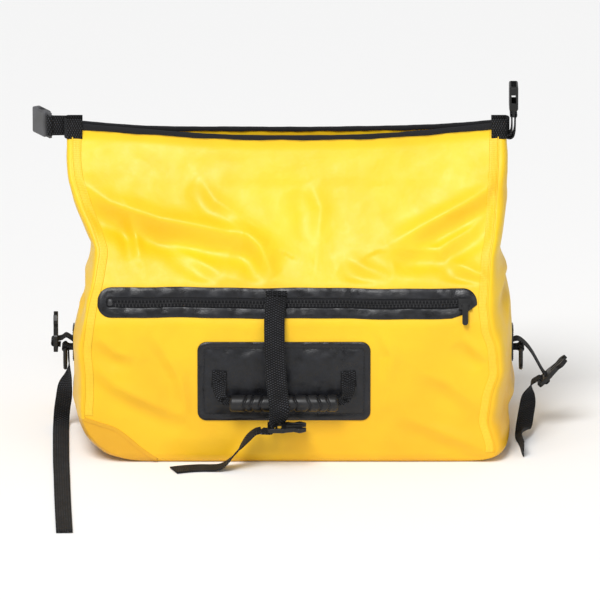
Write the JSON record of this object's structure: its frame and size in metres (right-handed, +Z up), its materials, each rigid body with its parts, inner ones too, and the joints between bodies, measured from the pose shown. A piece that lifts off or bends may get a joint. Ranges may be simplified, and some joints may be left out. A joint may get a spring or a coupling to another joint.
{
  "type": "dry bag",
  "caption": "Roll-top waterproof duffel of yellow coated fabric standing open, with a zipped front pocket, moulded grab handle, buckled webbing straps and side D-rings.",
  "frame": {"origin": "centre of the base panel's underside, on the surface the bag stands on", "axes": "+X to the right along the bag's length as its front is viewed, -Y towards the front with the zip and handle, +Z up through the mouth"},
  "size_m": [0.6542, 0.5567, 0.4414],
  "materials": {
    "shell_fabric": "yellow coated tarpaulin fabric, satin, lightly creased",
    "black_laminate": "black coated laminate, satin sheen",
    "hem_tape": "black woven binding tape",
    "webbing": "black woven webbing, matt",
    "zip_tape": "black coated zip tape",
    "zip_plastic": "black moulded zip plastic",
    "grip_rubber": "black moulded rubber, semi-gloss",
    "buckle_plastic": "black moulded plastic",
    "grey_plastic": "dark grey moulded plastic",
    "lining": "grey coated lining",
    "stiffener": "flexible plastic strip"
  },
  "bodies": {
    "bag": {"front_panel": "shell_fabric", "back_panel": "shell_fabric", "base_panel": "shell_fabric", "left_end_panel": "shell_fabric", "right_end_panel": "shell_fabric", "pocket_liner": "lining", "zip_surround": "black_laminate", "zip_tape_upper": "zip_tape", "zip_tape_lower": "zip_tape", "zip_teeth_upper": "zip_plastic", "zip_teeth_lower": "zip_plastic", "zip_stop_left": "zip_plastic", "zip_stop_right": "zip_plastic", "handle_patch": "black_laminate", "left_handle_anchor": "webbing", "right_handle_anchor": "webbing", "front_strap_anchor": "webbing", "back_strap_anchor": "webbing", "left_anchor_patch": "black_laminate", "right_anchor_patch": "black_laminate", "left_anchor_loop": "webbing", "right_anchor_loop": "webbing", "left_strap_tail": "webbing"},
    "collar": {"front_collar": "shell_fabric", "back_collar": "shell_fabric", "left_gusset": "shell_fabric", "right_gusset": "shell_fabric", "front_hem": "hem_tape", "back_hem": "hem_tape", "front_stiffener": "stiffener", "back_stiffener": "stiffener", "left_end_tab": "webbing", "right_end_tab": "webbing"},
    "left_mouth_buckle_body": {"left_mouth_buckle": "grey_plastic"},
    "right_mouth_buckle_body": {"right_mouth_buckle": "buckle_plastic"},
    "slider": {"zip_slider": "zip_plastic"},
    "puller": {"zip_puller": "zip_plastic"},
    "handle": {"handle_webbing": "webbing", "handle_grip": "grip_rubber"},
    "front_strap_root": {"front_strap_upper": "webbing"},
    "front_strap": {"front_strap_lower": "webbing", "front_male_buckle": "buckle_plastic", "front_strap_tail": "webbing"},
    "back_strap_body": {"back_strap": "webbing"},
    "back_buckle": {"back_female_buckle": "buckle_plastic"},
    "left_ring": {"left_d_ring": "buckle_plastic"},
    "right_ring": {"right_d_ring": "buckle_plastic"},
    "left_strap": {"left_side_strap": "webbing", "left_male_buckle": "buckle_plastic"},
    "right_strap": {"right_side_strap": "webbing", "right_male_buckle": "buckle_plastic", "right_strap_tail": "webbing"}
  },
  "joints": [
    {"name": "collar_fold", "type": "hinge", "parent": "bag", "child": "collar", "pos_m": [0, -0.041, 0.33], "axis": [1, 0, 0], "range_deg": [0, 165]},
    {"name": "left_mouth_buckle_swing", "type": "hinge", "parent": "collar", "child": "left_mouth_buckle_body", "pos_m": [-0.2959, 0, 0.389], "axis": [0, 0, 1], "range_deg": [-40, 150]},
    {"name": "right_mouth_buckle_swing", "type": "hinge", "parent": "collar", "child": "right_mouth_buckle_body", "pos_m": [0.2684, 0, 0.405], "axis": [0, 1, 0], "range_deg": [-90, 105]},
    {"name": "zip_run", "type": "slide", "parent": "bag", "child": "slider", "axis": [1, 0, 0], "range_m": [-0.415, 0]},
    {"name": "zip_puller_flip", "type": "hinge", "parent": "slider", "child": "puller", "pos_m": [0.2087, -0.1227, 0.19918], "axis": [-1, 0, 0], "range_deg": [0, 110]},
    {"name": "handle_flip", "type": "hinge", "parent": "bag", "child": "handle", "pos_m": [-0.011, -0.13356, 0.10259], "axis": [-1, 0, 0], "range_deg": [0, 115]},
    {"name": "front_strap_ride", "type": "hinge", "parent": "bag", "child": "front_strap_root", "pos_m": [-0.016, -0.12219, 0.20862], "axis": [-1, 0, 0], "range_deg": [0, 34]},
    {"name": "front_strap_lift", "type": "hinge", "parent": "front_strap_root", "child": "front_strap", "pos_m": [-0.016, -0.14431, 0.13544], "axis": [-1, 0, 0], "range_deg": [0, 105]},
    {"name": "back_strap_lift", "type": "hinge", "parent": "bag", "child": "back_strap_body", "pos_m": [0.016, 0.11741, 0.20601], "axis": [1, 0, 0], "range_deg": [0, 120]},
    {"name": "back_buckle_swing", "type": "hinge", "parent": "back_strap_body", "child": "back_buckle", "pos_m": [0.016, 0.1405, 0.12101], "axis": [1, 0, 0], "range_deg": [-5, 60]},
    {"name": "left_ring_swing", "type": "hinge", "parent": "bag", "child": "left_ring", "pos_m": [-0.27935, 0, 0.107], "axis": [0, 1, 0], "range_deg": [0, 38]},
    {"name": "right_ring_swing", "type": "hinge", "parent": "bag", "child": "right_ring", "pos_m": [0.27935, 0, 0.107], "axis": [0, -1, 0], "range_deg": [-12, 38]},
    {"name": "left_strap_swing", "type": "hinge", "parent": "bag", "child": "left_strap", "pos_m": [-0.26925, 0, 0.1165], "axis": [0, 1, 0], "range_deg": [-8, 18]},
    {"name": "right_strap_lift", "type": "hinge", "parent": "bag", "child": "right_strap", "pos_m": [0.26925, 0, 0.1165], "axis": [0, -1, 0], "range_deg": [0, 60]}
  ],
  "couplings": [
    {"joint": "front_strap_ride", "follows": "handle_flip", "ratio": 0.25}
  ]
}
